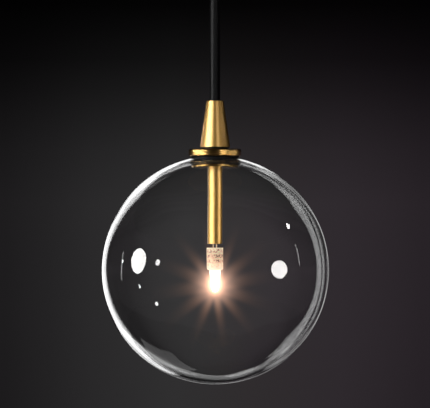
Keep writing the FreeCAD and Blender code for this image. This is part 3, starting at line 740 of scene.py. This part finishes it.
# The white panels for the glass, most of which draw its bright edge. The last item says
# whether a panel shines through the glass or only glints on its outer skin.
GLASS_PANELS = [
    ("left_panel", -151, 0, 2.7, (0.86, 3.2), 1.5, True),
    ("left_upper_panel", -165, 18, 2.7, (0.50, 0.7), 1.3, True),
    ("left_lower_panel", -165, -18, 2.7, (0.50, 0.7), 1.3, True),
    ("right_panel", 164.4, 0, 2.7, (0.29, 3.0), 0.45, True),
    ("bottom_panel", 180, -14, 2.7, (0.9, 0.3), 0.35, True),
    ("low_left", -140, -49.5, 1.2, (0.5, 0.5), 0.5, False),
    ("left_lip_panel", -174, 17, 2.7, (0.35, 0.5), 1.3, True),
    ("right_lip_panel", 173, 17, 2.7, (0.3, 0.4), 1.3, True),
    ("left_streak", -106, 2, 1.5, (0.04, 0.45), 4, False),
    ("right_streak", 92, 10, 1.5, (0.04, 0.4), 4, False),
    ("bottom_streak", 174, -70, 1.5, (0.5, 0.12), 4, False),
]
# The small round highlights on the globe's skin: azimuth, elevation and the light's width.
GLINTS = [(94, 31, 0.12), (-58, 7, 0.13), (-66, -27.5, 0.10), (-81, -12, 0.07), (-105, 5, 0.05)]
GLINT_DISTANCE = 1.5
GLINT_RADIANCE = 21
# The faint panels behind the globe that lift the dark seen through it.
GLASS_VEILS = [
    ("back_glow", 180, 0, 2.8, (5.0, 5.0), 0.0090),
    ("back_glow_high", 180, 19, 3.0, (5.0, 2.5), 0.0040),
    ("upper_glow_7.9", 180, 7.9, 2.7, (4.0, 0.6), 0.004),
    ("upper_glow_8.5", 180, 8.5, 2.7, (4.0, 0.6), 0.004),
    ("upper_glow_9.1", 180, 9.1, 2.7, (4.0, 0.6), 0.004),
    ("upper_glow_9.8", 180, 9.8, 2.7, (4.0, 0.6), 0.004),
]
# The broad lights for the solid pieces, with the family that receives each one.
FAMILY_LIGHTS = [
    ("brass", "brass_left", -55, 18, 1.0, (1.15, 0.5), 2.2),
    ("brass", "brass_core", -55, 18, 1.0, (0.7, 0.5), 2.0, COOL),
    ("brass", "brass_right", 25, 18, 1.0, (0.25, 0.5), 1.5),
    ("brass", "brass_side", 74, 18, 1.0, (1.2, 0.5), 0.25),
    ("brass", "brass_rim", -125, 18, 1.0, (0.7, 0.5), 0.6),
    ("discs", "discs_left", -74, 12, 1.0, (1.35, 0.8), 2.2),
    ("discs", "discs_right", 36, 12, 1.0, (0.40, 0.8), 1.3),
    ("discs", "discs_side", 80, 12, 1.0, (1.1, 0.8), 0.45),
    ("stem", "stem_left", -55, 2, 1.0, (1.7, 0.9), 2.2),
    ("stem", "stem_core", -55, 2, 1.0, (0.8, 0.9), 1.8, COOL),
    ("stem", "stem_right", 70, 2, 1.0, (0.55, 0.9), 1.8),
    ("rest", "rest_left", -68, 8, 1.0, (0.78, 0.9), 1.3),
    ("rest", "rest_fill", 0, 10, 1.6, (4.0, 2.0), 0.16),
    ("rest", "rest_top", 0, 80, 1.6, (1.4, 1.4), 0.5),
]
FLOOR_RADIANCE = 0.12


class Lighting:
    """Soft lights, each for one family: the glass, the brass, the discs, the stem or the rest.

    The lamp's own light falls only on the glass.
    """

    def __init__(self, floor):
        shown = [
            piece for piece in bpy.context.scene.objects
            if piece.type == "MESH" and not piece.hide_render and piece != floor
        ]
        names = ("glass", "brass", "discs", "stem", "rest")
        self.families = {name: bpy.data.collections.new(name) for name in names}
        self.solids = bpy.data.collections.new("solids")
        self.floor = bpy.data.collections.new("floor")
        self.floor.objects.link(floor)
        for piece in shown:
            material = piece.material_slots[0].material
            if material == MATERIALS["clear_glass"]:
                self.families["glass"].objects.link(piece)
                continue
            self.solids.objects.link(piece)
            family = "brass" if material == MATERIALS["satin_brass"] else "rest"
            if material == BRIGHT_BRASS:
                family = "discs"
            elif piece == frame["nodes"]["stem_tube"]:
                family = "stem"
            self.families[family].objects.link(piece)
            if material == MATERIALS["lamp_glow"]:
                piece.light_linking.receiver_collection = self.families["glass"]

    def soft(self, name, azimuth, elevation, distance, size, radiance, colour=WHITE, round_=False):
        """A light aimed at the globe. Azimuth 0 is in front, 90 to the right."""
        a, e = math.radians(azimuth), math.radians(elevation)
        way = Vector((math.sin(a) * math.cos(e), -math.cos(a) * math.cos(e), math.sin(e)))
        data = bpy.data.lights.new(name, "AREA")
        data.shape = "ELLIPSE" if round_ else "RECTANGLE"
        data.size, data.size_y = size
        area = size[0] * size[1] * (math.pi / 4 if round_ else 1)
        data.energy = radiance * math.pi * area
        data.color = colour
        light = bpy.data.objects.new(name, data)
        light.location = Vector((0, 0, GLOBE_Z)) + way * distance
        light.rotation_mode = "QUATERNION"
        light.rotation_quaternion = way.to_track_quat("Z", "Y")
        light.visible_camera = False
        bpy.context.scene.collection.objects.link(light)
        return light

    def for_glass(self, *settings, through=True, **more):
        """A light that only the glass shows; unless through, only in its outer skin."""
        light = self.soft(*settings, **more)
        light.light_linking.receiver_collection = self.families["glass"]
        light.visible_transmission = through

    def for_family(self, family, *settings):
        """A light that one family of solid pieces receives, as if the glass weren't there."""
        light = self.soft(*settings)
        light.light_linking.receiver_collection = self.families[family]
        light.light_linking.blocker_collection = self.solids
        light.data.cycles.use_multiple_importance_sampling = False

    def for_floor(self, radiance):
        light = self.soft("floor_light", 0, 85, 3.0, (3.0, 3.0), radiance)
        light.light_linking.receiver_collection = self.floor


def make_lights(floor):
    """Round softboxes and tall panels for the glass, broad soft light for the rest."""
    studio = Lighting(floor)
    skin = {"round_": True, "through": False}
    for name, *settings in GLASS_KEYS:
        studio.for_glass(name, *settings, **skin)
    for name, *settings, through in GLASS_PANELS:
        studio.for_glass(name, *settings, through=through)
    for azimuth, elevation, width in GLINTS:
        studio.for_glass(
            f"glint_{azimuth}", azimuth, elevation, GLINT_DISTANCE, (width, width),
            GLINT_RADIANCE, GLINT_COLOUR, **skin,
        )
    for name, *settings in GLASS_VEILS:
        studio.for_glass(name, *settings, VEIL_COLOUR)
    for family, *settings in FAMILY_LIGHTS:
        studio.for_family(family, *settings)
    studio.for_floor(FLOOR_RADIANCE)


# The dark backdrop's brightness from low to high, over directions whose Z part is between
# minus and plus BACKDROP_RISE, and its tint from left to right, over directions whose X part
# is between minus and plus BACKDROP_WIDTH.
BACKDROP_RISE = 0.06
BACKDROP_SHADES = [
    (0.0, 0.029), (0.25, 0.031), (0.5, 0.031), (0.634, 0.0232), (0.783, 0.0110),
    (0.858, 0.0060), (0.932, 0.0033), (0.997, 0.0012),
]
BACKDROP_WIDTH = 0.065
BACKDROP_TINTS = [
    (0.02, (0.41, 0.38, 0.41)), (0.121, (0.56, 0.53, 0.56)), (0.213, (0.74, 0.71, 0.74)),
    (0.408, (1.0, 0.97, 1.0)), (0.58, (1.0, 0.87, 0.93)), (0.786, (0.93, 0.75, 0.89)),
    (0.878, (0.82, 0.65, 0.78)), (0.977, (0.68, 0.53, 0.65)),
]
FLOOR_RADIUS = 2.4
FLOOR_LEVEL = -1.4
FLOOR_THICKNESS = 0.02


def graded(nodes, links, source, reach, stops):
    """A colour ramp over a direction's component, from minus to plus the reach."""
    share = nodes.new("ShaderNodeMapRange")
    shade = nodes.new("ShaderNodeValToRGB")
    links.new(source, share.inputs["Value"])
    share.inputs["From Min"].default_value = -reach
    share.inputs["From Max"].default_value = reach
    links.new(share.outputs[0], shade.inputs["Fac"])
    set_stops(shade.color_ramp, stops)
    return shade.outputs["Color"]


def make_surroundings():
    """A pale floor well below the light, and a dark backdrop with a faint glow low down."""
    edge = [(FLOOR_RADIUS, -FLOOR_THICKNESS), (FLOOR_RADIUS, 0)]
    floor = lathe("floor", [(0, -FLOOR_THICKNESS), *edge, (0, 0)], FLOOR_LEVEL, 96)
    pale = Material("pale_floor", Roughness=0.7)
    broad = pale.noise(pale.coords, 3)
    pale.colour(pale.ramp(broad, (0.3, (0.5, 0.5, 0.49)), (0.7, (0.56, 0.56, 0.55))))
    paint(floor, pale.data)
    world = bpy.data.worlds.new("backdrop")
    world.use_nodes = True
    bpy.context.scene.world = world
    nodes, links = world.node_tree.nodes, world.node_tree.links
    parts = nodes.new("ShaderNodeSeparateXYZ")
    links.new(nodes.new("ShaderNodeTexCoord").outputs["Generated"], parts.inputs[0])
    shades = [(place, (shade,) * 3) for place, shade in BACKDROP_SHADES]
    upright = graded(nodes, links, parts.outputs["Z"], BACKDROP_RISE, shades)
    across = graded(nodes, links, parts.outputs["X"], BACKDROP_WIDTH, BACKDROP_TINTS)
    both = nodes.new("ShaderNodeMix")
    both.data_type = "RGBA"
    both.blend_type = "MULTIPLY"
    both.inputs[0].default_value = 1.0
    links.new(upright, both.inputs[6])
    links.new(across, both.inputs[7])
    links.new(both.outputs[2], nodes["Background"].inputs["Color"])
    bpy.context.scene.view_settings.view_transform = "Standard"
    return floor


finish_cad_nodes()
make_globe()
make_head()
make_lamp()
make_output_leads()
make_cord()
make_camera()
make_glare()
make_lights(make_surroundings())
